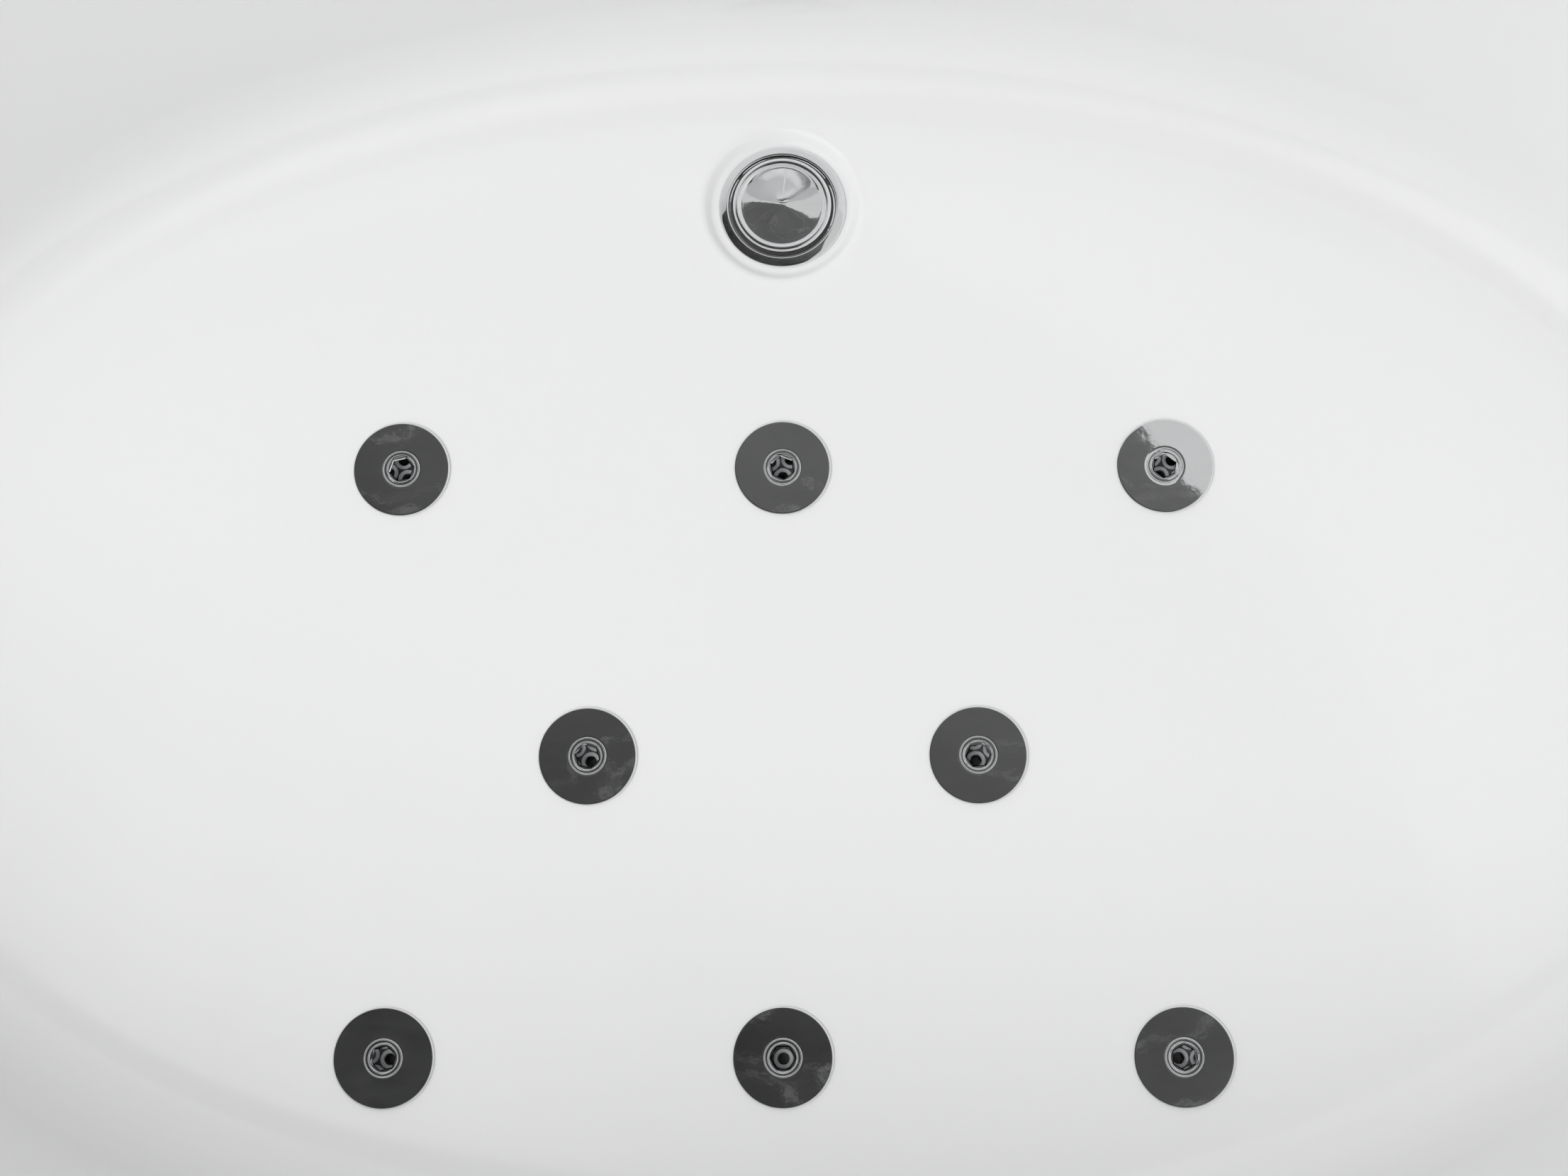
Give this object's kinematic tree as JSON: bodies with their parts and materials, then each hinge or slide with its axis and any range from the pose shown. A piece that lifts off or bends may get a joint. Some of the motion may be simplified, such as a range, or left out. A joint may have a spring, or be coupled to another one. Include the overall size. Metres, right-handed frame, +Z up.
{
  "type": "jetted bathtub",
  "caption": "Free-standing oval bathtub with floor air jets, pop-up waste, overflow control and a blower behind its skirt.",
  "frame": {"origin": "on the ground, under the middle of the tub", "axes": "+X along the tub towards the blower end, +Y towards the long side with the waste and the overflow, +Z up"},
  "size_m": [1.7346, 0.9754, 0.596],
  "materials": {
    "acrylic": "high-gloss white acrylic",
    "chrome": "polished",
    "steel": "grey powder coat",
    "foot_steel": "zinc plated",
    "board": "raw chipboard",
    "grey_plastic": "moulded, matte",
    "black_plastic": "moulded, matte",
    "motor": "dark enamel",
    "rubber": "matte"
  },
  "bodies": {
    "tub": {"acrylic_shell": "acrylic", "outer_skirt": "acrylic", "service_panel": "acrylic", "jet_inserts": "chrome", "waste_flange": "chrome", "button_bezel": "chrome", "frame_rail_far": "steel", "frame_rail_near": "steel", "frame_crossbar_left": "steel", "frame_crossbar_right": "steel", "blower_shelf": "steel", "base_board": "board", "jet_bodies": "grey_plastic", "air_duct_far_row": "grey_plastic", "air_duct_middle_row": "grey_plastic", "air_duct_near_row": "grey_plastic", "air_manifold": "grey_plastic", "air_feed_duct": "grey_plastic", "overflow_head": "grey_plastic", "overflow_pipe": "grey_plastic", "waste_body": "grey_plastic", "blower_case": "black_plastic", "blower_base": "black_plastic", "blower_cable_gland": "black_plastic", "plug_cable": "black_plastic", "panel_blocks": "black_plastic", "blower_motor": "motor", "blower_mounts": "rubber", "button_bellows": "rubber", "button_air_tube": "rubber"},
    "foot_far_left": {"foot_far_left": "foot_steel"},
    "foot_far_right": {"foot_far_right": "foot_steel"},
    "foot_near_left": {"foot_near_left": "foot_steel"},
    "foot_near_right": {"foot_near_right": "foot_steel"},
    "blower_impeller": {"blower_impeller": "black_plastic"},
    "waste_plug": {"waste_plug": "chrome"},
    "overflow_knob": {"overflow_knob": "chrome"},
    "air_button": {"air_button": "chrome"}
  },
  "joints": [
    {"name": "foot_far_left_height", "type": "slide", "parent": "tub", "child": "foot_far_left", "axis": [0, 0, 1], "range_m": [-0.01, 0.008]},
    {"name": "foot_far_right_height", "type": "slide", "parent": "tub", "child": "foot_far_right", "axis": [0, 0, 1], "range_m": [-0.01, 0.008]},
    {"name": "foot_near_left_height", "type": "slide", "parent": "tub", "child": "foot_near_left", "axis": [0, 0, 1], "range_m": [-0.01, 0.008]},
    {"name": "foot_near_right_height", "type": "slide", "parent": "tub", "child": "foot_near_right", "axis": [0, 0, 1], "range_m": [-0.01, 0.008]},
    {"name": "impeller_spin", "type": "hinge", "parent": "tub", "child": "blower_impeller", "pos_m": [0.71228, -0.067, 0.11], "axis": [0, 0, 1], "continuous": true},
    {"name": "knob_turn", "type": "hinge", "parent": "tub", "child": "overflow_knob", "pos_m": [0, 0.39593, 0.5], "axis": [0, -0.9781, 0.2079], "range_deg": [0, 90]},
    {"name": "plug_lift", "type": "slide", "parent": "tub", "child": "waste_plug", "axis": [0, 0, 1], "range_m": [0, 0.009]},
    {"name": "button_press", "type": "slide", "parent": "tub", "child": "air_button", "axis": [0, 0, -1], "range_m": [0, 0.004], "stiffness_N_per_m": 500, "springref_m": -0.002}
  ],
  "couplings": [
    {"joint": "plug_lift", "follows": "knob_turn", "m_per_rad": 0.0057}
  ]
}
